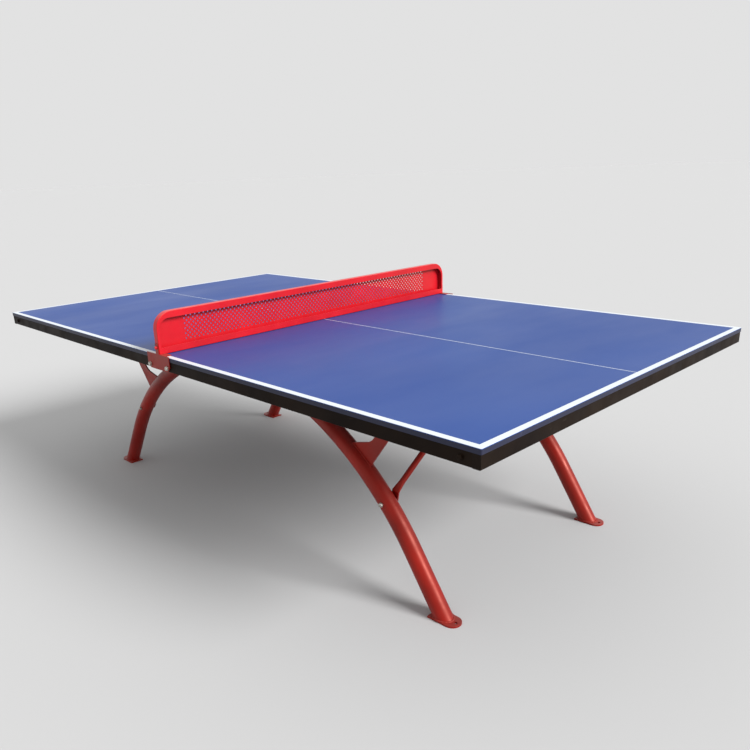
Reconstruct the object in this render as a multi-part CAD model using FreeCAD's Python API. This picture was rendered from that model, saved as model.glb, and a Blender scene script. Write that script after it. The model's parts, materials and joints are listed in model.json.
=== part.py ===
import FreeCAD, Part
import math
import os

# Outdoor ping pong table, in millimetres.
# The floor is z = 0 and the origin is under the middle of the table. X runs along the table,
# Y across it and Z up. Left is -X, right is +X, front is -Y and rear is +Y.
# Most pieces are drawn once, in the right rear quarter, and reflected to the other quarters.

Vector = FreeCAD.Vector
ORIGIN = Vector(0, 0, 0)
X_AXIS = Vector(1, 0, 0)
Y_AXIS = Vector(0, 1, 0)
Z_AXIS = Vector(0, 0, 1)

# ---- Driving dimensions: playing surface ----
TABLE_LENGTH = 2740.0
TABLE_WIDTH = 1525.0
TABLE_HEIGHT = 760.0
HALF_GAP = 1.0             # each half top stays this far from the middle plane
PANEL_SKIN = 5.0
PANEL_DEPTH = 15.0         # depth of the turned-down lip
LIP_WALL = 5.0
RIB_WALL = 4.0
CELLS_ALONG = 9            # cells between the ribs, along each half
CELLS_ACROSS = 10
CORNER_ROUND = 4.0
EDGE_ROUND = 1.2
LINE_WIDTH = 20.0
CENTRE_LINE_WIDTH = 3.0
PAINT_DEPTH = 0.3

# ---- Frame of rectangular tube ----
RAIL_WIDTH = 25.0
RAIL_HEIGHT = 38.0
RAIL_WALL = 2.0
RAIL_ROUND = 3.0
RAIL_SETBACK = 2.0         # the rails stand this far inside the lip
INNER_RAIL_X = 440.0       # cross rail nearer the net
OUTER_RAIL_X = 873.0       # cross rail that carries the gussets and braces
PLUG_CAP = 1.5
PLUG_INSERT = 10.0
PLUG_CLEARANCE = 0.2
CORNER_LEG = 80.0          # legs of the angle inside each corner
CORNER_PLATE = 3.0
CORNER_BOLT_INSET = 58.0   # from the table's end to the bolt through the side rail

# ---- Legs: each side has one arch, made of two tubes that are bent at the top and straight below ----
LEG_Y = 445.5
LEG_RADIUS = 30.0
LEG_WALL = 3.0
ARCH_RADIUS = 1056.0       # of the tube's centreline
CROWN_Z = 670.0            # centreline height in the middle
ARCH_SWEEP = 56.5          # degrees from the crown to where the bend ends
SHANK_LENGTH = 300.0       # straight below the bend, before the foot is cut level
CROWN_GAP = 0.5
SLEEVE_CLEARANCE = 0.5
SLEEVE_SWEEP = 5.0         # degrees, to each side of the crown
FOOT_THICKNESS = 6.0
FOOT_WIDTH = 62.0
FOOT_INNER_X = 966.0
FOOT_OUTER_X = 1072.0
FOOT_EDGE_ROUND = 1.0
ANCHOR_X = 1056.0
ANCHOR_RADIUS = 5.5

# ---- Saddle over each crown ----
SADDLE_LENGTH = 150.0
SADDLE_WIDTH = 116.0
SADDLE_PLATE = 6.0
CHEEK_GAP = 0.3            # between a cheek and the tube
CHEEK_LENGTH = 130.0
CHEEK_DROP = 50.0
SADDLE_BOLT_OFFSET = 47.0  # across the table, from the arch's plane
ARCH_BOLT_X = 45.0

# ---- Gusset strut between each leg and the outer cross rail ----
GUSSET_PLATE = 6.0
GUSSET_FLANGE_LENGTH = 90.0
GUSSET_FLANGE_WIDTH = 90.0
GUSSET_BOLT_OFFSET = 32.0
GUSSET_SLOPE = 53.0        # degrees above the floor
GUSSET_BAND = 46.0         # width of the rising strut
GUSSET_HEEL = (708.0, 437.0)     # x, z where the outer edge leaves the tube
GUSSET_TOE = (618.0, 497.0)      # x, z where the upper edge leaves the tube
GUSSET_BEND = (692.0, 515.0)     # x, z where the upper edge starts to curve upwards
GUSSET_ROOT = 40.0         # how far the outline starts inside the tube, before it is trimmed

# ---- Brace between each leg and the outer cross rail ----
BRACE_RADIUS = 10.0
BRACE_WALL = 1.5
BRACE_LEG_X = 777.0
BRACE_LEG_Z = 331.0
BRACE_RAIL_Y = 45.0
PADDLE_WIDTH = 28.0
PADDLE_THICKNESS = 5.0
PADDLE_LENGTH = 30.0
CRUSH_LENGTH = 35.0        # where the round tube is pressed flat

# ---- Net: one folded and perforated sheet ----
NET_TOP_Z = 906.0
NET_BOTTOM_Z = 761.0
NET_DEPTH = 25.0           # from the back of the sheet to the front of the rim
NET_SHEET = 2.0
NET_FOLD = 2.5             # outer radius of the folds
NET_CORNER = 60.0
NET_LIP = 23.0             # lip along the top and the bottom
NET_END_LIP = 10.0
NET_OPENING_CORNER = 40.0
HOLE_RADIUS = 3.0
HOLE_PITCH = 18.0          # between holes in one row; rows are half this apart and staggered
HOLE_ROWS = 10
HOLE_ROW_Z = 795.0         # lowest row
HOLE_FIELD_Y = 639.0       # from the middle to the first and last holes

# ---- Net brackets ----
BRACKET_PLATE = 3.0
BRACKET_HALF_WIDTH = 72.0
BRACKET_BOTTOM_Z = 708.0
BRACKET_CHAMFER = 16.0
BRACKET_BOLT_X = 56.0
BRACKET_BOLT_Z = 722.0
SHELF_START_X = 13.0       # the folded shelf lies on the table beside the net's end
SHELF_END_X = 47.0
SHELF_DEPTH = 25.0
TONGUE_HALF_WIDTH = 9.0
TONGUE_TOP_Z = 800.0
NET_BOLT_Z = 786.0

# ---- Fasteners ----
HOLE_CLEARANCE = 0.5
NUT_CLEARANCE = 0.1
WASHER = 2.0
HEX_CROWN = 0.95           # flat top of a hexagon, as a share of its width across flats
THREAD_PAST_NUT = 3.0
M6 = 6.0
M8 = 8.0
M10 = 10.0
M12 = 12.0
SCREW_HEAD = 3.5
SCREW_Y = (210.0, 610.0)
BOSS_RADIUS = 9.0
SCREW_TIP_GAP = 1.0

# ---- Worked out from the values above ----
HALF_LENGTH = TABLE_LENGTH / 2
HALF_WIDTH = TABLE_WIDTH / 2
RAIL_TOP = TABLE_HEIGHT - PANEL_DEPTH
RAIL_BOTTOM = RAIL_TOP - RAIL_HEIGHT
RAIL_MID_Z = RAIL_TOP - RAIL_HEIGHT / 2
SIDE_FACE_Y = HALF_WIDTH - RAIL_SETBACK
SIDE_INNER_Y = SIDE_FACE_Y - RAIL_WIDTH
END_FACE_X = HALF_LENGTH - RAIL_SETBACK
END_INNER_X = END_FACE_X - RAIL_WIDTH
END_RAIL_X = END_FACE_X - RAIL_WIDTH / 2
CENTRE_RAIL_X = HALF_GAP + RAIL_WIDTH / 2
ARCH_CENTRE_Z = CROWN_Z - ARCH_RADIUS
ARCH_BOLT_Z = ARCH_CENTRE_Z + math.sqrt(ARCH_RADIUS ** 2 - ARCH_BOLT_X ** 2)
HALF_NET_LENGTH = HALF_WIDTH
SCREW_RAILS = (CENTRE_RAIL_X, INNER_RAIL_X, OUTER_RAIL_X, END_RAIL_X)
SCREW_ROWS = tuple(side * y for side in (-1, 1) for y in SCREW_Y)


# ---- Helpers ----
def box(x0, x1, y0, y1, z0, z1):
    """A block between two opposite corners."""
    return Part.makeBox(x1 - x0, y1 - y0, z1 - z0, Vector(x0, y0, z0))


def is_along(edge, axis):
    """True if a straight edge runs along the axis."""
    if len(edge.Vertexes) != 2:
        return False
    run = edge.Vertexes[1].Point.sub(edge.Vertexes[0].Point)
    return run.Length > 0 and run.cross(axis).Length < 1e-6 * run.Length


def joined(shapes):
    """One shape fused from several."""
    return shapes[0].multiFuse(shapes[1:]).removeSplitter()


def drilled(shape, points, axis, radius, depth):
    """The shape with a round hole from each point along the axis."""
    tools = [Part.makeCylinder(radius, depth, point, axis) for point in points]
    return shape.cut(Part.makeCompound(tools))


def reflected(shape, side_x, side_y):
    """A right rear shape moved to the quarter that the two signs name."""
    if side_x < 0:
        shape = shape.mirror(ORIGIN, X_AXIS)
    if side_y < 0:
        shape = shape.mirror(ORIGIN, Y_AXIS)
    return shape


def rail(lo, hi, axis):
    """A rectangular tube that fills the block from lo to hi and is open at both ends along the axis."""
    outer = Part.makeBox(*hi.sub(lo), lo)
    long_edges = [edge for edge in outer.Edges if is_along(edge, axis)]
    outer = outer.makeFillet(RAIL_ROUND, long_edges)
    wall = Vector(RAIL_WALL, RAIL_WALL, RAIL_WALL)
    past = Vector(*[2 * RAIL_WALL * part for part in axis])
    bore = Part.makeBox(*hi.sub(lo).sub(wall * 2).add(past * 2), lo.add(wall).sub(past))
    return outer.cut(bore)


def hexagon(point, axis, across_flats, height):
    """A hexagonal prism that stands on the point, rises along the axis and has chamfered corners."""
    corner = across_flats / math.sqrt(3)
    turns = [math.radians(60 * i) for i in range(7)]
    ring = [Vector(corner * math.cos(t), corner * math.sin(t), 0) for t in turns]
    prism = Part.Face(Part.makePolygon(ring)).extrude(Vector(0, 0, height))
    crown = HEX_CROWN * across_flats / 2
    prism = prism.common(Part.makeCone(crown + height * math.sqrt(3), crown, height))
    prism.Placement = FreeCAD.Placement(point, FreeCAD.Rotation(Z_AXIS, axis))
    return prism


def bolt_and_nut(point, axis, grip, size):
    """A flanged hexagon bolt, with its seat at the point and its shank along the axis, and its nut."""
    back = axis * -1
    flats = 1.6 * size
    flange = Part.makeCylinder(size, WASHER, point, back)
    head = hexagon(point.add(back * WASHER), back, flats, 0.64 * size)
    nut_seat = point.add(axis * grip)
    nut_height = WASHER + 0.8 * size
    shank = Part.makeCylinder(size / 2, grip + nut_height + THREAD_PAST_NUT, point, axis)
    bolt = joined([shank, flange, head])
    nut = joined([
        Part.makeCylinder(size, WASHER, nut_seat, axis),
        hexagon(nut_seat.add(axis * WASHER), axis, flats, 0.8 * size),
    ])
    nut = drilled(nut, [nut_seat], axis, size / 2 + NUT_CLEARANCE, nut_height)
    return [bolt, nut]


def captive_bolt(point, axis, grip, size):
    """A hexagon bolt whose nut sits inside the hollow rail, on the wall that the bolt goes through."""
    back = axis * -1
    head = joined([
        Part.makeCylinder(size, WASHER, point, back),
        hexagon(point.add(back * WASHER), back, 1.6 * size, 0.64 * size),
        Part.makeCylinder(size / 2, grip + size, point, axis),
    ])
    seat = point.add(axis * grip)
    nut = hexagon(seat, axis, 1.6 * size, 0.8 * size)
    return [head, drilled(nut, [seat], axis, size / 2 + NUT_CLEARANCE, size)]


def quarters():
    """The signs and names of the four quarters."""
    for side_x, end_name in ((-1, "left"), (1, "right")):
        for side_y, side_name in ((-1, "front"), (1, "rear")):
            yield side_x, side_y, side_name + "_" + end_name


def in_all_quarters(shapes):
    """The shapes of the right rear quarter, repeated in all four."""
    return [reflected(shape, sx, sy) for sx, sy, _ in quarters() for shape in shapes]


# ---- Top ----
def panel_block():
    """The right half top before its underside is hollowed, with rounded corners and edges."""
    block = box(HALF_GAP, HALF_LENGTH, -HALF_WIDTH, HALF_WIDTH, RAIL_TOP, TABLE_HEIGHT)
    uprights = [
        edge for edge in block.Edges
        if is_along(edge, Z_AXIS) and edge.Vertexes[0].X > HALF_LENGTH / 2
    ]
    block = block.makeFillet(CORNER_ROUND, uprights)
    rim = [
        edge for edge in block.Edges
        if all(abs(vertex.Z - TABLE_HEIGHT) < 1e-6 for vertex in edge.Vertexes)
    ]
    return block.makeFillet(EDGE_ROUND, rim)


def panel_cells():
    """The hollows between the lip and the ribs."""
    x0 = HALF_GAP + LIP_WALL
    y0 = LIP_WALL - HALF_WIDTH
    step_x = (HALF_LENGTH - LIP_WALL - x0 + RIB_WALL) / CELLS_ALONG
    step_y = (RIB_WALL - 2 * y0) / CELLS_ACROSS
    cells = []
    for i in range(CELLS_ALONG):
        for j in range(CELLS_ACROSS):
            x = x0 + i * step_x
            y = y0 + j * step_y
            cells.append(box(
                x, x + step_x - RIB_WALL,
                y, y + step_y - RIB_WALL,
                RAIL_TOP, TABLE_HEIGHT - PANEL_SKIN,
            ))
    return Part.makeCompound(cells)


def line_areas():
    """The painted strips of the right half: both side lines, the end line and the centre line."""
    z0 = TABLE_HEIGHT - PAINT_DEPTH
    z1 = TABLE_HEIGHT + 1
    inner_x = HALF_LENGTH - LINE_WIDTH
    inner_y = HALF_WIDTH - LINE_WIDTH
    half_line = CENTRE_LINE_WIDTH / 2
    return joined([
        box(inner_x, HALF_LENGTH, -HALF_WIDTH, HALF_WIDTH, z0, z1),
        box(HALF_GAP, HALF_LENGTH, inner_y, HALF_WIDTH, z0, z1),
        box(HALF_GAP, HALF_LENGTH, -HALF_WIDTH, -inner_y, z0, z1),
        box(HALF_GAP, inner_x, -half_line, half_line, z0, z1),
    ])


def screw_points(z):
    """Where the panel screws of the right half stand, at a height."""
    return [Vector(x, y, z) for x in SCREW_RAILS for y in SCREW_ROWS]


def top_panel():
    """The right half top, with its lip, ribs and screw bosses, and recesses for the lines."""
    boss_height = PANEL_DEPTH - PANEL_SKIN
    bosses = [
        Part.makeCylinder(BOSS_RADIUS, boss_height, point, Z_AXIS)
        for point in screw_points(RAIL_TOP)
    ]
    panel = panel_block().cut(panel_cells())
    panel = joined([panel] + [boss.common(panel_block()) for boss in bosses])
    panel = drilled(panel, screw_points(RAIL_TOP), Z_AXIS, M6 / 2 + NUT_CLEARANCE, boss_height)
    return panel.cut(line_areas())


def top_lines():
    """The white lines of the right half, flush with the playing surface."""
    return panel_block().common(line_areas())


# ---- Frame ----
def side_rail():
    """The right rear side rail, which butts against the end rail."""
    bar = rail(
        Vector(HALF_GAP, SIDE_INNER_Y, RAIL_BOTTOM),
        Vector(END_INNER_X, SIDE_FACE_Y, RAIL_TOP),
        X_AXIS,
    )
    bolts = [
        Vector(HALF_LENGTH - CORNER_BOLT_INSET, SIDE_INNER_Y, RAIL_MID_Z),
        Vector(BRACKET_BOLT_X, SIDE_INNER_Y, BRACKET_BOLT_Z),
    ]
    return drilled(bar, bolts, Y_AXIS, M8 / 2 + HOLE_CLEARANCE, RAIL_WIDTH)


def transverse_rail(x, half_length):
    """A rail across the right half, centred on x, with its panel screw holes."""
    bar = rail(
        Vector(x - RAIL_WIDTH / 2, -half_length, RAIL_BOTTOM),
        Vector(x + RAIL_WIDTH / 2, half_length, RAIL_TOP),
        Y_AXIS,
    )
    screws = [Vector(x, y, RAIL_BOTTOM) for y in SCREW_ROWS]
    return drilled(bar, screws, Z_AXIS, M6 / 2 + HOLE_CLEARANCE, RAIL_HEIGHT)


def end_rail():
    """The right end rail, which runs the full width and takes a plug in each end."""
    bar = transverse_rail(END_RAIL_X, SIDE_FACE_Y - PLUG_CAP)
    bolts = [Vector(END_INNER_X, side * corner_bolt_y(), RAIL_MID_Z) for side in (-1, 1)]
    return drilled(bar, bolts, X_AXIS, M8 / 2 + HOLE_CLEARANCE, 2 * RAIL_WALL)


def centre_rail():
    """The right centre rail beside the joint, drilled for the saddle bolts."""
    bar = transverse_rail(CENTRE_RAIL_X, SIDE_INNER_Y)
    bolts = [Vector(CENTRE_RAIL_X, side * y, RAIL_BOTTOM) for side in (-1, 1) for y in saddle_bolt_rows()]
    return drilled(bar, bolts, Z_AXIS, M10 / 2 + HOLE_CLEARANCE, 2 * RAIL_WALL)


def outer_cross_rail():
    """The right cross rail that the gussets and braces are bolted to."""
    bar = transverse_rail(OUTER_RAIL_X, SIDE_INNER_Y)
    gussets = [
        Vector(OUTER_RAIL_X, side * y, RAIL_BOTTOM)
        for side in (-1, 1) for y in gusset_bolt_rows()
    ]
    bar = drilled(bar, gussets, Z_AXIS, M10 / 2 + HOLE_CLEARANCE, 2 * RAIL_WALL)
    inner_face = OUTER_RAIL_X - RAIL_WIDTH / 2
    braces = [Vector(inner_face, side * BRACE_RAIL_Y, RAIL_MID_Z) for side in (-1, 1)]
    return drilled(bar, braces, X_AXIS, M8 / 2 + HOLE_CLEARANCE, RAIL_WIDTH)


def corner_bolt_y():
    """How far across the table the bolt into the end rail stands."""
    return HALF_WIDTH - CORNER_BOLT_INSET


def corner_bracket():
    """The steel angle inside the right rear corner."""
    z0 = RAIL_BOTTOM + RAIL_ROUND
    z1 = RAIL_TOP - RAIL_ROUND
    angle = joined([
        box(END_INNER_X - CORNER_LEG, END_INNER_X, SIDE_INNER_Y - CORNER_PLATE, SIDE_INNER_Y, z0, z1),
        box(END_INNER_X - CORNER_PLATE, END_INNER_X, SIDE_INNER_Y - CORNER_LEG, SIDE_INNER_Y, z0, z1),
    ])
    through_side = Vector(HALF_LENGTH - CORNER_BOLT_INSET, SIDE_INNER_Y - CORNER_PLATE, RAIL_MID_Z)
    through_end = Vector(END_INNER_X - CORNER_PLATE, corner_bolt_y(), RAIL_MID_Z)
    angle = drilled(angle, [through_side], Y_AXIS, M8 / 2 + HOLE_CLEARANCE, CORNER_PLATE)
    return drilled(angle, [through_end], X_AXIS, M8 / 2 + HOLE_CLEARANCE, CORNER_PLATE)


def rail_plug():
    """The plastic plug in the rear end of the right end rail."""
    gap = RAIL_WALL + PLUG_CLEARANCE
    x0 = END_INNER_X
    x1 = END_FACE_X
    y0 = SIDE_FACE_Y - PLUG_CAP
    cap = box(x0, x1, y0, SIDE_FACE_Y, RAIL_BOTTOM, RAIL_TOP)
    cap = cap.makeFillet(RAIL_ROUND, [edge for edge in cap.Edges if is_along(edge, Y_AXIS)])
    insert = box(x0 + gap, x1 - gap, y0 - PLUG_INSERT, y0, RAIL_BOTTOM + gap, RAIL_TOP - gap)
    return joined([cap, insert])


# ---- Legs ----
def bent_bar(radius, start, sweep):
    """A round bar bent along the rear arch, from one angle past the crown through a sweep, in degrees."""
    circle = Part.Wire(Part.makeCircle(radius, Vector(0, LEG_Y, CROWN_Z), X_AXIS))
    face = Part.Face(circle)
    centre = Vector(0, LEG_Y, ARCH_CENTRE_Z)
    face.rotate(centre, Y_AXIS, start)
    return face.revolve(centre, Y_AXIS, sweep)


def leg_bar(radius, start):
    """A round bar along the rear leg, from one angle past the crown to below the floor."""
    bend = bent_bar(radius, start, ARCH_SWEEP - start)
    end = Part.Face(Part.Wire(Part.makeCircle(radius, Vector(0, LEG_Y, CROWN_Z), X_AXIS)))
    end.rotate(Vector(0, LEG_Y, ARCH_CENTRE_Z), Y_AXIS, ARCH_SWEEP)
    slope = math.radians(ARCH_SWEEP)
    shank = end.extrude(Vector(math.cos(slope), 0, -math.sin(slope)) * SHANK_LENGTH)
    return joined([bend, shank])


def leg_tube():
    """The right rear leg, cut level where it stands on its foot plate."""
    start = math.degrees(CROWN_GAP / ARCH_RADIUS)
    tube = leg_bar(LEG_RADIUS, start).cut(leg_bar(LEG_RADIUS - LEG_WALL, start - 1))
    below = box(0, 2 * HALF_LENGTH, 0, HALF_WIDTH, -HALF_WIDTH, FOOT_THICKNESS)
    tube = tube.cut(below)
    across = Vector(0, LEG_Y - 2 * LEG_RADIUS, 0)
    brace_hole = across.add(Vector(BRACE_LEG_X, 0, BRACE_LEG_Z))
    crown_hole = across.add(Vector(ARCH_BOLT_X, 0, ARCH_BOLT_Z))
    tube = drilled(tube, [brace_hole], Y_AXIS, M8 / 2 + HOLE_CLEARANCE, 4 * LEG_RADIUS)
    return drilled(tube, [crown_hole], Y_AXIS, M12 / 2 + HOLE_CLEARANCE, 4 * LEG_RADIUS)


def arch_sleeve():
    """The inner tube that joins the two halves of the rear arch."""
    outer = LEG_RADIUS - LEG_WALL - SLEEVE_CLEARANCE
    tube = bent_bar(outer, -SLEEVE_SWEEP, 2 * SLEEVE_SWEEP).cut(
        bent_bar(outer - LEG_WALL, -SLEEVE_SWEEP - 1, 2 * SLEEVE_SWEEP + 2))
    holes = [Vector(side * ARCH_BOLT_X, LEG_Y - 2 * LEG_RADIUS, ARCH_BOLT_Z) for side in (-1, 1)]
    return drilled(tube, holes, Y_AXIS, M12 / 2 + HOLE_CLEARANCE, 4 * LEG_RADIUS)


def foot_plate():
    """The right rear foot plate: square at its inner end, round at its outer end, one anchor hole."""
    half = FOOT_WIDTH / 2
    round_x = FOOT_OUTER_X - half
    plate = joined([
        box(FOOT_INNER_X, round_x, LEG_Y - half, LEG_Y + half, 0, FOOT_THICKNESS),
        Part.makeCylinder(half, FOOT_THICKNESS, Vector(round_x, LEG_Y, 0), Z_AXIS),
    ])
    rim = [edge for edge in plate.Edges if edge.BoundBox.ZMin > FOOT_THICKNESS / 2]
    plate = plate.makeFillet(FOOT_EDGE_ROUND, rim)
    return drilled(plate, [Vector(ANCHOR_X, LEG_Y, 0)], Z_AXIS, ANCHOR_RADIUS, FOOT_THICKNESS)


def saddle_bolt_rows():
    """The rows of bolts that hold a saddle, across the table."""
    return (LEG_Y - SADDLE_BOLT_OFFSET, LEG_Y + SADDLE_BOLT_OFFSET)


def saddle():
    """The rear saddle: a plate under both centre rails, with a cheek down each side of the crown."""
    top = RAIL_BOTTOM
    under = top - SADDLE_PLATE
    half_length = SADDLE_LENGTH / 2
    half_width = SADDLE_WIDTH / 2
    half_cheek = CHEEK_LENGTH / 2
    near = LEG_RADIUS + CHEEK_GAP
    parts = [box(-half_length, half_length, LEG_Y - half_width, LEG_Y + half_width, under, top)]
    for y0 in (LEG_Y - near - SADDLE_PLATE, LEG_Y + near):
        parts.append(box(-half_cheek, half_cheek, y0, y0 + SADDLE_PLATE, under - CHEEK_DROP, under))
    body = joined(parts)
    ups = [
        Vector(side * CENTRE_RAIL_X, y, under)
        for side in (-1, 1) for y in saddle_bolt_rows()
    ]
    body = drilled(body, ups, Z_AXIS, M10 / 2 + HOLE_CLEARANCE, SADDLE_PLATE)
    across = [Vector(side * ARCH_BOLT_X, LEG_Y - half_width, ARCH_BOLT_Z) for side in (-1, 1)]
    return drilled(body, across, Y_AXIS, M12 / 2 + HOLE_CLEARANCE, SADDLE_WIDTH)


# ---- Gusset struts ----
def gusset_bolt_rows():
    """The rows of bolts that hold a gusset's flange, across the table."""
    return (LEG_Y - GUSSET_BOLT_OFFSET, LEG_Y + GUSSET_BOLT_OFFSET)


def gusset_outline(top):
    """The gusset's outline in its own plane, from inside the tube up to the flange."""
    slope = math.radians(GUSSET_SLOPE)
    y = LEG_Y - GUSSET_PLATE / 2
    heel = Vector(GUSSET_HEEL[0], y, GUSSET_HEEL[1])
    toe = Vector(GUSSET_TOE[0], y, GUSSET_TOE[1])
    bend = Vector(GUSSET_BEND[0], y, GUSSET_BEND[1])
    outer_top = heel.add(Vector((top - heel.z) / math.tan(slope), 0, top - heel.z))
    inner_top = outer_top.sub(Vector(GUSSET_BAND / math.sin(slope), 0, 0))
    run = bend.sub(toe)
    rise = Vector(math.cos(slope), 0, math.sin(slope))
    # The curve starts at the bend and ends on the strut's inner edge, tangent to both.
    edge = run * (1 / run.Length)
    offset = inner_top.sub(bend)
    cross = edge.x * rise.z - edge.z * rise.x
    reach = (offset.x * rise.z - offset.z * rise.x) / cross
    corner = bend.add(edge * reach)
    leave = corner.add(rise * reach)
    bisector = bend.add(leave).sub(corner * 2)
    half_turn = bisector.getAngle(bend.sub(corner))
    radius = reach * math.tan(half_turn)
    to_arc = reach / math.cos(half_turn) - radius
    middle = corner.add(bisector * (to_arc / bisector.Length))
    root = Vector(-GUSSET_ROOT / 2, 0, -GUSSET_ROOT)
    return Part.Wire([
        Part.LineSegment(toe, bend).toShape(),
        Part.Arc(bend, middle, leave).toShape(),
        Part.LineSegment(leave, inner_top).toShape(),
        Part.LineSegment(inner_top, outer_top).toShape(),
        Part.LineSegment(outer_top, heel).toShape(),
        Part.LineSegment(heel, heel.add(root)).toShape(),
        Part.LineSegment(heel.add(root), toe.add(root)).toShape(),
        Part.LineSegment(toe.add(root), toe).toShape(),
    ])


def gusset():
    """The right rear gusset strut, trimmed to the tube, with a flange under the cross rail."""
    under = RAIL_BOTTOM - GUSSET_PLATE
    web = Part.Face(gusset_outline(under)).extrude(Vector(0, GUSSET_PLATE, 0))
    web = web.cut(leg_bar(LEG_RADIUS, 0))
    half_length = GUSSET_FLANGE_LENGTH / 2
    half_width = GUSSET_FLANGE_WIDTH / 2
    flange = box(
        OUTER_RAIL_X - half_length, OUTER_RAIL_X + half_length,
        LEG_Y - half_width, LEG_Y + half_width,
        under, RAIL_BOTTOM,
    )
    points = [Vector(OUTER_RAIL_X, y, under) for y in gusset_bolt_rows()]
    return drilled(joined([web, flange]), points, Z_AXIS, M10 / 2 + HOLE_CLEARANCE, GUSSET_PLATE)


# ---- Braces ----
def flat_section(centre, along, normal):
    """The pressed-flat section of a brace, square to its run."""
    across = along.cross(normal) * (PADDLE_WIDTH / 2)
    thick = normal * (PADDLE_THICKNESS / 2)
    corners = [
        centre.add(across).add(thick),
        centre.sub(across).add(thick),
        centre.sub(across).sub(thick),
        centre.add(across).sub(thick),
    ]
    return Part.makePolygon(corners + corners[:1])


def round_section(centre, along, normal):
    """The round section of a brace as four arcs that face the flat section's four sides."""
    side = along.cross(normal).normalize()
    lift = side.cross(along).normalize()
    turns = [math.radians(45 + 90 * i) for i in range(5)]
    spots = [
        centre.add(side * (BRACE_RADIUS * math.cos(t))).add(lift * (BRACE_RADIUS * math.sin(t)))
        for t in turns
    ]
    arcs = []
    for i in range(4):
        t = (turns[i] + turns[i + 1]) / 2
        middle = centre.add(side * (BRACE_RADIUS * math.cos(t))).add(lift * (BRACE_RADIUS * math.sin(t)))
        arcs.append(Part.Arc(spots[i], middle, spots[i + 1]).toShape())
    return Part.Wire(arcs)


def paddle(bolt, along, normal):
    """The flat end of a brace: round about its bolt, with the bolt's hole."""
    thick = normal * PADDLE_THICKNESS
    base = bolt.sub(thick * 0.5)
    across = along.cross(normal) * (PADDLE_WIDTH / 2)
    reach = along * PADDLE_LENGTH
    corners = [
        base.add(across),
        base.sub(across),
        base.sub(across).add(reach),
        base.add(across).add(reach),
    ]
    plate = Part.Face(Part.makePolygon(corners + corners[:1])).extrude(thick)
    eye = Part.makeCylinder(PADDLE_WIDTH / 2, PADDLE_THICKNESS, base, normal)
    return drilled(joined([plate, eye]), [base], normal, M8 / 2 + HOLE_CLEARANCE, PADDLE_THICKNESS)


def brace_ends():
    """The bolt centres of the right rear brace: on the leg's inner side and on the cross rail."""
    on_leg = Vector(BRACE_LEG_X, LEG_Y - LEG_RADIUS - CHEEK_GAP - PADDLE_THICKNESS / 2, BRACE_LEG_Z)
    on_rail = Vector(
        OUTER_RAIL_X - (RAIL_WIDTH + PADDLE_THICKNESS) / 2, BRACE_RAIL_Y, RAIL_MID_Z)
    return on_leg, on_rail


def brace():
    """The right rear brace: a round tube with both ends pressed flat and bent to their bolts."""
    on_leg, on_rail = brace_ends()
    span = on_rail.sub(on_leg)
    up = Vector(span.x, 0, span.z).normalize()
    down = Vector(0, -span.y, -span.z).normalize()
    low_bend = on_leg.add(up * PADDLE_LENGTH)
    high_bend = on_rail.add(down * PADDLE_LENGTH)
    run = high_bend.sub(low_bend)
    axis = run * (1 / run.Length)
    low_round = low_bend.add(axis * CRUSH_LENGTH)
    high_round = high_bend.sub(axis * CRUSH_LENGTH)
    straight = high_round.sub(low_round).Length
    tube = Part.makeCylinder(BRACE_RADIUS, straight, low_round, axis)
    bore = Part.makeCylinder(BRACE_RADIUS - BRACE_WALL, straight, low_round, axis)
    low_press = Part.makeLoft(
        [flat_section(low_bend, up, Y_AXIS), round_section(low_round, axis, Y_AXIS)], True, True)
    high_press = Part.makeLoft(
        [flat_section(high_bend, down, X_AXIS), round_section(high_round, axis * -1, X_AXIS)],
        True, True)
    return joined([
        paddle(on_leg, up, Y_AXIS),
        low_press,
        tube.cut(bore),
        high_press,
        paddle(on_rail, down, X_AXIS),
    ])


# ---- Net ----
def arch_window(x, half_length, bottom, top, corner):
    """An upright outline across the table at x: square below, with its two upper corners rounded."""
    shoulder = top - corner
    turn = half_length - corner
    diagonal = corner * math.sqrt(0.5)
    lower = [Vector(x, -half_length, bottom), Vector(x, half_length, bottom)]
    rise = [Vector(x, half_length, shoulder), Vector(x, -half_length, shoulder)]
    flat = [Vector(x, turn, top), Vector(x, -turn, top)]
    middles = [
        Vector(x, side * (turn + diagonal), shoulder + diagonal) for side in (1, -1)
    ]
    return Part.Wire([
        Part.LineSegment(lower[0], lower[1]).toShape(),
        Part.LineSegment(lower[1], rise[0]).toShape(),
        Part.Arc(rise[0], middles[0], flat[0]).toShape(),
        Part.LineSegment(flat[0], flat[1]).toShape(),
        Part.Arc(flat[1], middles[1], rise[1]).toShape(),
        Part.LineSegment(rise[1], lower[0]).toShape(),
    ])


def net_holes(x):
    """The circles of the perforated field, staggered row by row."""
    circles = []
    for row in range(HOLE_ROWS):
        shift = (row % 2) * HOLE_PITCH / 2
        z = HOLE_ROW_Z + row * HOLE_PITCH / 2
        count = int((2 * HOLE_FIELD_Y - shift) / HOLE_PITCH) + 1
        for i in range(count):
            y = -HOLE_FIELD_Y + shift + i * HOLE_PITCH
            circles.append(Part.Wire(Part.makeCircle(HOLE_RADIUS, Vector(x, y, z), X_AXIS)))
    return circles


def slab(x0, x1, half_length, bottom, top, corner):
    """An upright slab across the table from x0 to x1, with its two upper corners rounded."""
    outline = arch_window(x0, half_length, bottom, top, corner)
    return Part.Face(outline).extrude(Vector(x1 - x0, 0, 0))


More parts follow.
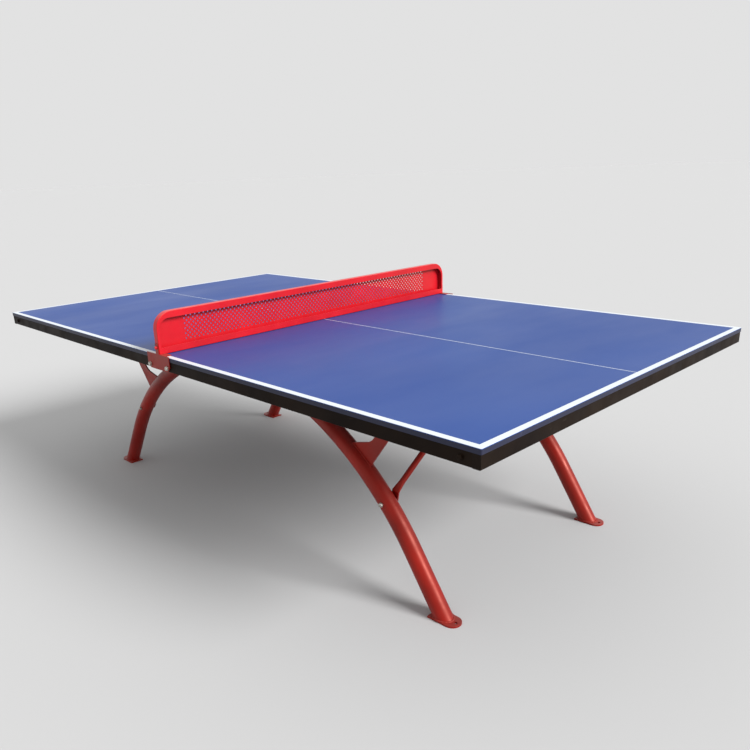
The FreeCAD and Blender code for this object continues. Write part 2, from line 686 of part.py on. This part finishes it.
def net_panel():
    """The net: a perforated sheet whose edges are folded forwards and then inwards as a lip."""
    back = -NET_DEPTH / 2
    front = NET_DEPTH / 2
    block = slab(back, front, HALF_NET_LENGTH, NET_BOTTOM_Z, NET_TOP_Z, NET_CORNER)
    folds = [edge for edge in block.Edges if edge.BoundBox.XLength < NET_SHEET]
    block = block.makeFillet(NET_FOLD, folds)
    hollow = slab(
        back + NET_SHEET, front - NET_SHEET,
        HALF_NET_LENGTH - NET_SHEET,
        NET_BOTTOM_Z + NET_SHEET, NET_TOP_Z - NET_SHEET,
        NET_CORNER - NET_SHEET,
    )
    opening = slab(
        0, front,
        HALF_NET_LENGTH - NET_END_LIP,
        NET_BOTTOM_Z + NET_LIP, NET_TOP_Z - NET_LIP,
        NET_OPENING_CORNER,
    )
    holes = [Part.Face(circle).extrude(Vector(2 * NET_SHEET, 0, 0)) for circle in net_holes(back)]
    net = block.cut([hollow, opening, Part.makeCompound(holes)])
    bolts = [Vector(0, -HALF_WIDTH, NET_BOLT_Z), Vector(0, HALF_WIDTH - NET_SHEET, NET_BOLT_Z)]
    return drilled(net, bolts, Y_AXIS, M6 / 2 + HOLE_CLEARANCE, NET_SHEET)


def net_bracket():
    """The rear net bracket: a plate over the rails, a shelf on the table and a tongue on the net."""
    y0 = HALF_WIDTH
    half = BRACKET_HALF_WIDTH
    shelf_top = TABLE_HEIGHT + BRACKET_PLATE
    low = BRACKET_BOTTOM_Z
    cut = BRACKET_CHAMFER
    outline = [
        Vector(-half, y0, shelf_top), Vector(half, y0, shelf_top),
        Vector(half, y0, low + cut), Vector(half - cut, y0, low),
        Vector(cut - half, y0, low), Vector(-half, y0, low + cut),
    ]
    fold = Vector(0, BRACKET_PLATE, 0)
    plate = Part.Face(Part.makePolygon(outline + outline[:1])).extrude(fold)
    shelf = box(SHELF_START_X, SHELF_END_X, y0 - SHELF_DEPTH, y0, TABLE_HEIGHT, shelf_top)
    width = TONGUE_HALF_WIDTH
    tongue = box(-width, width, y0, y0 + BRACKET_PLATE, shelf_top, TONGUE_TOP_Z)
    bracket = joined([plate, shelf, tongue])
    frame_bolts = [Vector(side * BRACKET_BOLT_X, y0, BRACKET_BOLT_Z) for side in (-1, 1)]
    bracket = drilled(bracket, frame_bolts, Y_AXIS, M8 / 2 + HOLE_CLEARANCE, BRACKET_PLATE)
    return drilled(bracket, [Vector(0, y0, NET_BOLT_Z)], Y_AXIS, M6 / 2 + HOLE_CLEARANCE, BRACKET_PLATE)


# ---- Fasteners ----
def panel_screws():
    """The screws that come up through the rails into the panel's bosses."""
    length = RAIL_HEIGHT + PANEL_DEPTH - PANEL_SKIN - SCREW_TIP_GAP
    screws = []
    for point in screw_points(RAIL_BOTTOM):
        shank = Part.makeCylinder(M6 / 2, length, point, Z_AXIS)
        head = Part.makeCylinder(M6, SCREW_HEAD, point, Z_AXIS * -1)
        rounding = [edge for edge in head.Edges if edge.BoundBox.ZMax < RAIL_BOTTOM - SCREW_HEAD / 2]
        screws.append(joined([shank, head.makeFillet(SCREW_HEAD / 2, rounding)]))
    return [reflected(screw, side, 1) for side in (-1, 1) for screw in screws]


def corner_bolts():
    """The bolts through each corner bracket: one through the side rail, one into the end rail."""
    side_seat = Vector(HALF_LENGTH - CORNER_BOLT_INSET, SIDE_FACE_Y, RAIL_MID_Z)
    end_seat = Vector(END_INNER_X - CORNER_PLATE, corner_bolt_y(), RAIL_MID_Z)
    shapes = bolt_and_nut(side_seat, Y_AXIS * -1, RAIL_WIDTH + CORNER_PLATE, M8)
    return in_all_quarters(shapes + captive_bolt(end_seat, X_AXIS, CORNER_PLATE + RAIL_WALL, M8))


def saddle_bolts():
    """The bolts that hold the saddles up to the centre rails."""
    seats = [Vector(CENTRE_RAIL_X, y, RAIL_BOTTOM - SADDLE_PLATE) for y in saddle_bolt_rows()]
    shapes = [part for seat in seats for part in captive_bolt(seat, Z_AXIS, SADDLE_PLATE + RAIL_WALL, M10)]
    return in_all_quarters(shapes)


def arch_bolts():
    """The bolts through the saddle cheeks, the leg tubes and the sleeves."""
    reach = LEG_RADIUS + CHEEK_GAP + SADDLE_PLATE
    seat = Vector(ARCH_BOLT_X, LEG_Y + reach, ARCH_BOLT_Z)
    return in_all_quarters(bolt_and_nut(seat, Y_AXIS * -1, 2 * reach, M12))


def gusset_bolts():
    """The bolts that hold the gusset flanges up to the outer cross rails."""
    seats = [Vector(OUTER_RAIL_X, y, RAIL_BOTTOM - GUSSET_PLATE) for y in gusset_bolt_rows()]
    shapes = [part for seat in seats for part in captive_bolt(seat, Z_AXIS, GUSSET_PLATE + RAIL_WALL, M10)]
    return in_all_quarters(shapes)


def brace_leg_bolts():
    """The bolts through the legs that hold the lower ends of the braces."""
    seat = Vector(BRACE_LEG_X, LEG_Y + LEG_RADIUS, BRACE_LEG_Z)
    grip = 2 * LEG_RADIUS + CHEEK_GAP + PADDLE_THICKNESS
    return in_all_quarters(bolt_and_nut(seat, Y_AXIS * -1, grip, M8))


def brace_rail_bolts():
    """The bolts through the outer cross rails that hold the upper ends of the braces."""
    seat = Vector(OUTER_RAIL_X + RAIL_WIDTH / 2, BRACE_RAIL_Y, RAIL_MID_Z)
    return in_all_quarters(bolt_and_nut(seat, X_AXIS * -1, RAIL_WIDTH + PADDLE_THICKNESS, M8))


def net_bracket_bolts():
    """The bolts that hold the net brackets to the side rails of both halves."""
    seat = Vector(BRACKET_BOLT_X, HALF_WIDTH + BRACKET_PLATE, BRACKET_BOLT_Z)
    grip = BRACKET_PLATE + RAIL_SETBACK + RAIL_WIDTH
    return in_all_quarters(bolt_and_nut(seat, Y_AXIS * -1, grip, M8))


def net_end_bolts():
    """The bolt that holds each end of the net to its bracket's tongue."""
    seat = Vector(0, HALF_WIDTH + BRACKET_PLATE, NET_BOLT_Z)
    shapes = bolt_and_nut(seat, Y_AXIS * -1, BRACKET_PLATE + NET_SHEET, M6)
    return [reflected(shape, 1, side) for side in (-1, 1) for shape in shapes]


# ---- Writing the pieces ----
def save(name, shapes):
    """Writes one node, made of one shape or of several separate ones."""
    shape = shapes[0] if len(shapes) == 1 else Part.makeCompound(shapes)
    solids = shape.Solids
    if not shape.isValid() or any(solid.Volume <= 0 for solid in solids):
        raise ValueError(name + " is not a valid solid")
    shape.exportStep(os.path.join("parts", name + ".step"))
    print(name, len(solids), round(shape.Volume / 1000, 1), "cm3")


def save_in_quarters(name, shape):
    """Writes a right rear piece and its reflections as four nodes."""
    for side_x, side_y, quarter in quarters():
        save(name + "_" + quarter, [reflected(shape, side_x, side_y)])


def save_left_right(name, shape):
    """Writes a right piece and its reflection as two nodes."""
    for side_x, end_name in ((-1, "left"), (1, "right")):
        save(name + "_" + end_name, [reflected(shape, side_x, 1)])


def save_front_rear(name, shape):
    """Writes a rear piece and its reflection as two nodes."""
    for side_y, side_name in ((-1, "front"), (1, "rear")):
        save(name + "_" + side_name, [reflected(shape, 1, side_y)])


def main():
    """Builds and writes every piece of the table."""
    os.makedirs("parts", exist_ok=True)
    save_left_right("top_panel", top_panel())
    save_left_right("top_lines", top_lines())
    save_left_right("end_rail", end_rail())
    save_left_right("centre_rail", centre_rail())
    save_left_right("inner_cross_rail", transverse_rail(INNER_RAIL_X, SIDE_INNER_Y))
    save_left_right("outer_cross_rail", outer_cross_rail())
    save_in_quarters("side_rail", side_rail())
    save_in_quarters("corner_bracket", corner_bracket())
    save("rail_plugs", in_all_quarters([rail_plug()]))
    save_in_quarters("leg_tube", leg_tube())
    save_in_quarters("foot_plate", foot_plate())
    save_in_quarters("gusset", gusset())
    save_in_quarters("brace", brace())
    save_front_rear("arch_sleeve", arch_sleeve())
    save_front_rear("saddle", saddle())
    save_front_rear("net_bracket", net_bracket())
    save("net_panel", [net_panel()])
    save("panel_screws", panel_screws())
    save("corner_bolts", corner_bolts())
    save("saddle_bolts", saddle_bolts())
    save("arch_bolts", arch_bolts())
    save("gusset_bolts", gusset_bolts())
    save("brace_leg_bolts", brace_leg_bolts())
    save("brace_rail_bolts", brace_rail_bolts())
    save("net_bracket_bolts", net_bracket_bolts())
    save("net_end_bolts", net_end_bolts())


main()
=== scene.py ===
import json
import math

import bmesh
import bpy
from mathutils import Matrix, Vector


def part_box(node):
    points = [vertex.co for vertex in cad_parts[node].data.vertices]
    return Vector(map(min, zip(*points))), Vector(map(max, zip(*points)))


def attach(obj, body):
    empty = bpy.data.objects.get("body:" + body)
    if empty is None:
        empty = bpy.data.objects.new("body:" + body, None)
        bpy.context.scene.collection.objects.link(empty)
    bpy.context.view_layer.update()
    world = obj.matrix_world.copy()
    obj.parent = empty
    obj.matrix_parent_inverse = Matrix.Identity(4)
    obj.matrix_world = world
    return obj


# The looks of an outdoor ping pong table, around its fixed CAD frame. Lengths are in metres.
# X runs along the table, Y across it and Z up; the floor is z = 0.

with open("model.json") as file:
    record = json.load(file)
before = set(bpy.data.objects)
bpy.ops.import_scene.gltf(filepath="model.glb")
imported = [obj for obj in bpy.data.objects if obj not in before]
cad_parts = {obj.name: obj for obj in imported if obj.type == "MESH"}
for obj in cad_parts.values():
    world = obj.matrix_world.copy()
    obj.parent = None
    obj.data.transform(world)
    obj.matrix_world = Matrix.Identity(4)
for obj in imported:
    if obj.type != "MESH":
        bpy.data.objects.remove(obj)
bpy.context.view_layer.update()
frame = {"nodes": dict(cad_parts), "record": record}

# ---- Camera ----
CAMERA_AZIMUTH = 46.39       # degrees from the table's -Y side towards +X
CAMERA_ELEVATION = 19.69
CAMERA_ROLL = -2.32
CAMERA_DISTANCE = 2.77489
CAMERA_TARGET = Vector((0.33333, -0.13509, 0.4))
CAMERA_LENS = 34.357         # mm, on a sensor 36 mm wide
CAMERA_SHIFT = (0.02095, 0.06843)

# ---- Light ----
WORLD_BRIGHTNESS = 0.76
SUN_AZIMUTH = 12.0           # degrees from +X towards +Y
SUN_ELEVATION = 32.0
SUN_SPREAD = 26.0            # degrees across the sun, so its shadows are soft
SUN_POWER = 4.3
FLOOR_SIZE = 400.0

# ---- Colours, linear ----
BLUE = (0.021, 0.070, 0.280)
BLUE_DEEP = (0.016, 0.058, 0.245)
SLATE = (0.018, 0.020, 0.045)
SLATE_PALE = (0.038, 0.042, 0.080)
WHITE = (0.66, 0.70, 0.73)
WHITE_WORN = (0.55, 0.60, 0.68)
COAL = (0.0060, 0.0034, 0.0026)
COAL_WARM = (0.0150, 0.0088, 0.0055)
DUST = (0.060, 0.046, 0.033)
LEG_RED = (0.270, 0.006, 0.003)
LEG_RED_DEEP = (0.150, 0.003, 0.002)
NET_RED = (0.560, 0.008, 0.017)
NET_RED_DEEP = (0.450, 0.006, 0.013)
ZINC = (0.56, 0.54, 0.50)
ZINC_DULL = (0.34, 0.31, 0.27)
# Paler reds for what faces up on the legs and net: partly dust, partly a painted sheen that stands in
# for the sky's reflection
LEG_DUST_AND_SHEEN = (0.400, 0.110, 0.090)
NET_DUST_AND_SHEEN = (0.780, 0.200, 0.200)
RED_SHEEN = (1.0, 0.38, 0.30)   # tint of the gloss on the red paint
FLOOR_COLOUR = (0.51, 0.51, 0.51)

# ---- Gloss of the red paint ----
RED_SPECULAR = 0.70
LEG_ROUGHNESS = 0.40
NET_ROUGHNESS = 0.34

# ---- The bend of the legs, which the CAD boxes don't give ----
BEND_RADIUS = 1.056          # of the tube's centreline
BEND_ANGLE = 56.5            # degrees past the crown, where the straight lower end begins

# ---- Depths and widths of the surface detail ----
GUSSET_HALF_PLATE = 0.003
PAINT_EDGE = 0.0016          # the blue reaches this far down the rounded edge of the top
PAINT_BLEND = 0.0004         # over which it gives way to the bare lip
PEEL_DEPTH = 0.00004         # of the orange peel in the powder coat
GRAIN_DEPTH = 0.00010        # of the moulded panels' fine grain
GRAIN_SCALE = 420.0          # lumps of that grain to a metre
BEAD_RADIUS = 0.0032
BEAD_RIPPLE = 0.0030         # from one ripple of a weld to the next
BEAD_SIDES = 10
BEAD_STEPS = 4               # rings of the mesh to one ripple
BEAD_SWELL = 0.13            # of the radius, from ripple to ripple
BEAD_DRIFT = 0.07            # of the radius, wandering more slowly
BEAD_DRIFT_RATE = 1.7
BEAD_TIP = 0.35              # of the radius, at the open ends of a weld
BEAD_TAPER = 0.16            # gained with each ring from there
BEAD_ASIDE = Vector((0.31, 0.17, 0.93))   # runs along no weld
FOOT_SPOTS = 72
SEAM_SPOTS = 24
SENSOR_WIDTH = 36.0          # mm


# ---- Building materials ----
class Finish:
    """A material in the making: a Principled shader, and short calls that add nodes to it."""

    def __init__(self, name, roughness, metallic=0.0, specular=0.5):
        self.material = bpy.data.materials.new(name)
        self.material.use_nodes = True
        self.nodes = self.material.node_tree.nodes
        self.links = self.material.node_tree.links
        self.shader = self.nodes["Principled BSDF"]
        self.shader.inputs["Roughness"].default_value = roughness
        self.shader.inputs["Metallic"].default_value = metallic
        self.shader.inputs["Specular IOR Level"].default_value = specular
        self.place = self.nodes.new("ShaderNodeTexCoord").outputs["Object"]

    def stretched(self, x, y, z):
        """The place, scaled along each axis."""
        node = self.nodes.new("ShaderNodeMapping")
        node.inputs["Scale"].default_value = (x, y, z)
        self.links.new(self.place, node.inputs["Vector"])
        return node.outputs["Vector"]

    def noise(self, scale, detail=2.0, place=None):
        """Noise from 0 to 1, with about this many lumps to a metre."""
        node = self.nodes.new("ShaderNodeTexNoise")
        node.inputs["Scale"].default_value = scale
        node.inputs["Detail"].default_value = detail
        self.links.new(place or self.place, node.inputs["Vector"])
        return node.outputs["Fac"]

    def ramp(self, value, low, high, out_low=0.0, out_high=1.0):
        """A value carried from one range to another, and held at its ends."""
        node = self.nodes.new("ShaderNodeMapRange")
        node.inputs["From Min"].default_value = low
        node.inputs["From Max"].default_value = high
        node.inputs["To Min"].default_value = out_low
        node.inputs["To Max"].default_value = out_high
        self.links.new(value, node.inputs["Value"])
        return node.outputs["Result"]

    def height(self):
        """The z of the shaded point."""
        node = self.nodes.new("ShaderNodeSeparateXYZ")
        self.links.new(self.place, node.inputs["Vector"])
        return node.outputs["Z"]

    def upward(self):
        """How far the surface faces up, from -1 to 1."""
        geometry = self.nodes.new("ShaderNodeNewGeometry")
        node = self.nodes.new("ShaderNodeSeparateXYZ")
        self.links.new(geometry.outputs["Normal"], node.inputs["Vector"])
        return node.outputs["Z"]

    def times(self, first, second):
        """The product of two values."""
        node = self.nodes.new("ShaderNodeMath")
        node.operation = "MULTIPLY"
        for value, socket in zip((first, second), node.inputs):
            if isinstance(value, float):
                socket.default_value = value
            else:
                self.links.new(value, socket)
        return node.outputs["Value"]

    def plus(self, first, second):
        """The sum of two values."""
        node = self.nodes.new("ShaderNodeMath")
        node.operation = "ADD"
        self.links.new(first, node.inputs[0])
        self.links.new(second, node.inputs[1])
        return node.outputs["Value"]

    def mix(self, factor, first, second):
        """A colour between two, each a triple or a socket. The node keeps its colours on 6 and 7."""
        node = self.nodes.new("ShaderNodeMix")
        node.data_type = "RGBA"
        self.links.new(factor, node.inputs["Factor"])
        for value, socket in zip((first, second), (node.inputs[6], node.inputs[7])):
            if isinstance(value, tuple):
                socket.default_value = (*value, 1.0)
            else:
                self.links.new(value, socket)
        return node.outputs[2]

    def colour(self, source):
        """Gives the shader its colour."""
        self.links.new(source, self.shader.inputs["Base Color"])

    def roughness(self, source):
        """Gives the shader its roughness."""
        self.links.new(source, self.shader.inputs["Roughness"])

    def bump(self, source, depth):
        """Raises the surface by a height from 0 to 1, times a depth in metres."""
        node = self.nodes.new("ShaderNodeBump")
        node.inputs["Distance"].default_value = depth
        self.links.new(source, node.inputs["Height"])
        self.links.new(node.outputs["Normal"], self.shader.inputs["Normal"])


def panel_finish():
    """Moulded panels: painted blue on top, with the bare slate-coloured compound on the lip."""
    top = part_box("top_panel_left")[1].z
    finish = Finish("panel_blue", roughness=0.42, specular=0.22)
    cloud = finish.ramp(finish.noise(1.3, 3.0), 0.35, 0.65)
    speck = finish.ramp(finish.noise(650.0, 1.0), 0.30, 0.75, 0.0, 0.25)
    blue = finish.mix(finish.plus(finish.times(cloud, 0.7), speck), BLUE_DEEP, BLUE)
    scuff = finish.ramp(finish.noise(60.0, 4.0, finish.stretched(0.25, 1.0, 1.0)), 0.62, 0.80)
    slate = finish.mix(scuff, SLATE, SLATE_PALE)
    painted = finish.ramp(finish.height(), top - PAINT_EDGE - PAINT_BLEND, top - PAINT_EDGE)
    finish.colour(finish.mix(painted, slate, blue))
    wipe = finish.noise(4.0, 4.0, finish.stretched(1.0, 0.4, 1.0))
    finish.roughness(finish.ramp(wipe, 0.3, 0.7, 0.36, 0.47))
    finish.bump(finish.noise(GRAIN_SCALE, 2.0), GRAIN_DEPTH)
    return finish.material


def line_finish():
    """White line paint, a little worn and dulled."""
    finish = Finish("line_white", roughness=0.45, specular=0.22)
    wear = finish.ramp(finish.noise(95.0, 6.0), 0.66, 0.80)
    soil = finish.ramp(finish.noise(9.0, 4.0), 0.45, 0.85, 0.0, 0.25)
    finish.colour(finish.mix(finish.plus(wear, soil), WHITE, WHITE_WORN))
    finish.roughness(finish.ramp(finish.noise(30.0, 3.0), 0.3, 0.7, 0.38, 0.52))
    finish.bump(finish.noise(GRAIN_SCALE, 2.0), GRAIN_DEPTH)
    return finish.material


def frame_finish():
    """Black powder coat on the frame, gone slightly brown, with dust on what faces up."""
    finish = Finish("frame_black", roughness=0.45, specular=0.05)
    warm = finish.ramp(finish.noise(5.0, 4.0), 0.35, 0.70)
    coat = finish.mix(warm, COAL, COAL_WARM)
    dusty = finish.times(finish.ramp(finish.upward(), 0.3, 0.95, 0.0, 0.3), finish.noise(35.0, 4.0))
    rub = finish.ramp(finish.noise(75.0, 6.0, finish.stretched(0.3, 0.3, 1.0)), 0.66, 0.76, 0.0, 0.25)
    finish.colour(finish.mix(finish.plus(dusty, rub), coat, DUST))
    finish.roughness(finish.ramp(finish.noise(18.0, 4.0), 0.3, 0.7, 0.38, 0.54))
    finish.bump(finish.noise(330.0, 2.0), PEEL_DEPTH)
    return finish.material


def red_finish(name, bright, deep, dust, roughness):
    """Red powder coat over steel: orange peel, dulled patches, and a paler colour on what faces up,
    partly dust and partly a painted sheen of the sky.
    """
    finish = Finish(name, roughness=roughness, specular=RED_SPECULAR)
    finish.shader.inputs["Specular Tint"].default_value = (*RED_SHEEN, 1.0)
    cloud = finish.ramp(finish.noise(7.0, 4.0), 0.32, 0.68)
    fleck = finish.ramp(finish.noise(160.0, 5.0), 0.60, 0.78, 0.0, 0.35)
    paint = finish.mix(fleck, finish.mix(cloud, bright, deep), deep)
    patchy = finish.ramp(finish.noise(28.0, 4.0), 0.25, 0.75, 0.45, 1.0)
    # Painted sheen: what faces up is lifted towards a paler red, partly as dust and partly in place of
    # the sky's reflection
    dusty = finish.times(finish.ramp(finish.upward(), 0.5, 1.0, 0.0, 0.45), patchy)
    finish.colour(finish.mix(dusty, paint, dust))
    finish.roughness(finish.ramp(finish.noise(24.0, 4.0), 0.3, 0.7, roughness - 0.06, roughness + 0.10))
    finish.bump(finish.noise(260.0, 2.0), PEEL_DEPTH)
    return finish.material


def zinc_finish():
    """Zinc plating, with dull blooms and fine marks from the spanner."""
    finish = Finish("zinc_bolt", roughness=0.34, metallic=1.0)
    bloom = finish.ramp(finish.noise(140.0, 4.0), 0.42, 0.66)
    finish.colour(finish.mix(bloom, ZINC, ZINC_DULL))
    finish.roughness(finish.ramp(finish.noise(420.0, 3.0), 0.3, 0.7, 0.26, 0.48))
    finish.bump(finish.noise(900.0, 3.0), PEEL_DEPTH / 3)
    return finish.material


def plug_finish():
    """The matt moulded plastic of the rail plugs."""
    finish = Finish("plug_black", roughness=0.55, specular=0.08)
    finish.colour(finish.mix(finish.noise(60.0, 4.0), COAL, COAL_WARM))
    finish.roughness(finish.ramp(finish.noise(200.0, 3.0), 0.3, 0.7, 0.48, 0.64))
    finish.bump(finish.noise(1500.0, 2.0), PEEL_DEPTH)
    return finish.material


def floor_finish():
    """A plain pale studio floor."""
    finish = Finish("studio_floor", roughness=0.9, specular=0.1)
    finish.shader.inputs["Base Color"].default_value = (*FLOOR_COLOUR, 1.0)
    return finish.material


def paint_nodes(finishes):
    """Gives every CAD node the finish of its material slot."""
    for part in frame["record"]["subparts"]:
        node = frame["nodes"][part["node"]]
        finish = finishes[part["material_slot"]]
        for slot in node.material_slots:
            slot.material = finish


# ---- Welds ----
def quarters():
    """The signs and names of the four quarters."""
    for side_x, end_name in ((-1, "left"), (1, "right")):
        for side_y, side_name in ((-1, "front"), (1, "rear")):
            yield side_x, side_y, side_name + "_" + end_name


class Leg:
    """The tube of one leg, bent above and straight below, in its own right rear quarter."""

    def __init__(self, quarter):
        low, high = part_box("leg_tube_" + quarter)
        self.tube = (high.y - low.y) / 2
        self.y = abs(high.y + low.y) / 2
        self.foot = low.z
        self.centre = high.z - self.tube - BEND_RADIUS
        self.bend = math.radians(BEND_ANGLE)

    def point(self, angle, turn):
        """A point on the bent tube, at an angle past the crown and a turn about its centreline."""
        out = BEND_RADIUS + self.tube * math.cos(turn)
        return Vector((
            out * math.sin(angle),
            self.y + self.tube * math.sin(turn),
            self.centre + out * math.cos(angle),
        ))

    def foot_ring(self, count):
        """Points around the straight end of the tube, where it stands on its foot plate."""
        ring = []
        for i in range(count):
            start = self.point(self.bend, 2 * math.pi * i / count)
            down = (start.z - self.foot) / math.sin(self.bend)
            ring.append(start + Vector((math.cos(self.bend), 0, -math.sin(self.bend))) * down)
        return ring


def bead_mesh(name, paths):
    """A mesh of welds along open or closed paths, with ripples at an even spacing."""
    mesh = bpy.data.meshes.new(name)
    build = bmesh.new()
    for points, closed in paths:
        add_bead(build, points, closed)
    bmesh.ops.recalc_face_normals(build, faces=build.faces)
    build.to_mesh(mesh)
    build.free()
    for face in mesh.polygons:
        face.use_smooth = True
    return mesh


def resampled(points, closed, step):
    """Evenly spaced points along a path."""
    path = points + points[:1] if closed else points
    lengths = [0.0]
    for here, there in zip(path, path[1:]):
        lengths.append(lengths[-1] + (there - here).length)
    count = max(4, round(lengths[-1] / step))
    spots = []
    index = 0
    last = count if closed else count + 1
    for i in range(last):
        along = lengths[-1] * i / count
        while index < len(path) - 2 and lengths[index + 1] < along:
            index += 1
        span = lengths[index + 1] - lengths[index]
        spots.append(path[index].lerp(path[index + 1], (along - lengths[index]) / span))
    return spots


def add_bead(build, points, closed):
    """One weld: a round bead that swells and shrinks from ripple to ripple."""
    step = BEAD_RIPPLE / BEAD_STEPS
    spots = resampled(points, closed, step)
    count = len(spots)
    rings = []
    for i, spot in enumerate(spots):
        after = spots[(i + 1) % count] if closed or i < count - 1 else spot
        before = spots[i - 1] if closed or i > 0 else spot
        along = (after - before).normalized()
        side = along.cross(BEAD_ASIDE).normalized()
        lift = side.cross(along)
        phase = i * step / BEAD_RIPPLE
        ripple = BEAD_SWELL * abs(math.sin(math.pi * phase))
        drift = BEAD_DRIFT * math.sin(BEAD_DRIFT_RATE * phase)
        from_end = min(i, count - 1 - i)
        taper = 1.0 if closed else min(1.0, BEAD_TIP + BEAD_TAPER * from_end)
        radius = BEAD_RADIUS * (1.0 + ripple + drift) * taper
        ring = []
        for j in range(BEAD_SIDES):
            turn = 2 * math.pi * j / BEAD_SIDES
            ring.append(build.verts.new(spot + (side * math.cos(turn) + lift * math.sin(turn)) * radius))
        rings.append(ring)
    pairs = list(zip(rings, rings[1:]))
    if closed:
        pairs.append((rings[-1], rings[0]))
    for one, two in pairs:
        for j in range(BEAD_SIDES):
            k = (j + 1) % BEAD_SIDES
            build.faces.new((one[j], one[k], two[k], two[j]))
    if not closed:
        build.faces.new(rings[0])
        build.faces.new(list(reversed(rings[-1])))


def add_piece(name, mesh, material):
    """A new piece of the table, from a mesh in the table's own frame."""
    piece = bpy.data.objects.new(name, mesh)
    bpy.context.scene.collection.objects.link(piece)
    mesh.materials.append(material)
    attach(piece, "root")
    return piece


def gusset_seam(leg, quarter, side):
    """The seam between one face of a gusset and its leg tube."""
    low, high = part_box("gusset_" + quarter)
    toe_x = min(abs(low.x), abs(high.x))
    turn = math.asin(GUSSET_HALF_PLATE / leg.tube) * side
    out = BEND_RADIUS + leg.tube * math.cos(turn)
    start = math.asin(toe_x / out)
    stop = math.acos((low.z - leg.centre) / out)
    step = (stop - start) / SEAM_SPOTS
    return [leg.point(start + step * i, turn) for i in range(SEAM_SPOTS + 1)]


def add_welds(material):
    """The welds around each foot and along both sides of each gusset."""
    for side_x, side_y, quarter in quarters():
        leg = Leg(quarter)
        paths = [(leg.foot_ring(FOOT_SPOTS), True)]
        for side in (-1, 1):
            paths.append((gusset_seam(leg, quarter, side), False))
        flipped = [
            ([Vector((p.x * side_x, p.y * side_y, p.z)) for p in points], closed)
            for points, closed in paths
        ]
        add_piece("leg_welds_" + quarter, bead_mesh("leg_welds_" + quarter, flipped), material)


# ---- Studio ----
def add_floor():
    """The floor that the table stands on."""
    mesh = bpy.data.meshes.new("floor")
    half = FLOOR_SIZE / 2
    corners = [(-half, -half, 0), (half, -half, 0), (half, half, 0), (-half, half, 0)]
    mesh.from_pydata(corners, [], [(0, 1, 2, 3)])
    mesh.materials.append(floor_finish())
    floor = bpy.data.objects.new("floor", mesh)
    bpy.context.scene.collection.objects.link(floor)


def add_light():
    """The even white surround, and a soft key from beyond the right end."""
    world = bpy.data.worlds.new("studio")
    world.use_nodes = True
    background = world.node_tree.nodes["Background"]
    background.inputs["Color"].default_value = (1.0, 1.0, 1.0, 1.0)
    background.inputs["Strength"].default_value = WORLD_BRIGHTNESS
    bpy.context.scene.world = world
    bpy.context.scene.view_settings.view_transform = "Standard"
    azimuth = math.radians(SUN_AZIMUTH)
    elevation = math.radians(SUN_ELEVATION)
    towards = Vector((
        math.cos(azimuth) * math.cos(elevation),
        math.sin(azimuth) * math.cos(elevation),
        math.sin(elevation),
    ))
    data = bpy.data.lights.new("key", "SUN")
    data.energy = SUN_POWER
    data.angle = math.radians(SUN_SPREAD)
    lamp = bpy.data.objects.new("key", data)
    lamp.rotation_euler = towards.to_track_quat("Z", "Y").to_euler()
    bpy.context.scene.collection.objects.link(lamp)


def add_camera():
    """The camera, from its angles about the target."""
    azimuth = math.radians(CAMERA_AZIMUTH)
    elevation = math.radians(CAMERA_ELEVATION)
    roll = math.radians(CAMERA_ROLL)
    back = Vector((
        math.sin(azimuth) * math.cos(elevation),
        -math.cos(azimuth) * math.cos(elevation),
        math.sin(elevation),
    ))
    level = Vector((math.cos(azimuth), math.sin(azimuth), 0))
    above = back.cross(level)
    right = level * math.cos(roll) + above * math.sin(roll)
    up = above * math.cos(roll) - level * math.sin(roll)
    data = bpy.data.cameras.new("camera")
    data.sensor_width = SENSOR_WIDTH
    data.lens = CAMERA_LENS
    data.shift_x, data.shift_y = CAMERA_SHIFT
    camera = bpy.data.objects.new("camera", data)
    turn = Matrix((right, up, back)).transposed().to_4x4()
    camera.matrix_world = Matrix.Translation(CAMERA_TARGET + back * CAMERA_DISTANCE) @ turn
    bpy.context.scene.collection.objects.link(camera)
    bpy.context.scene.camera = camera


def main():
    """Finishes the frame, adds the new pieces and sets up the studio."""
    leg_red = red_finish("leg_red", LEG_RED, LEG_RED_DEEP, LEG_DUST_AND_SHEEN, LEG_ROUGHNESS)
    finishes = {
        "panel_blue": panel_finish(),
        "line_white": line_finish(),
        "frame_black": frame_finish(),
        "plug_black": plug_finish(),
        "leg_red": leg_red,
        "net_red": red_finish("net_red", NET_RED, NET_RED_DEEP, NET_DUST_AND_SHEEN, NET_ROUGHNESS),
        "zinc_bolt": zinc_finish(),
    }
    paint_nodes(finishes)
    add_welds(leg_red)
    add_floor()
    add_light()
    add_camera()


main()
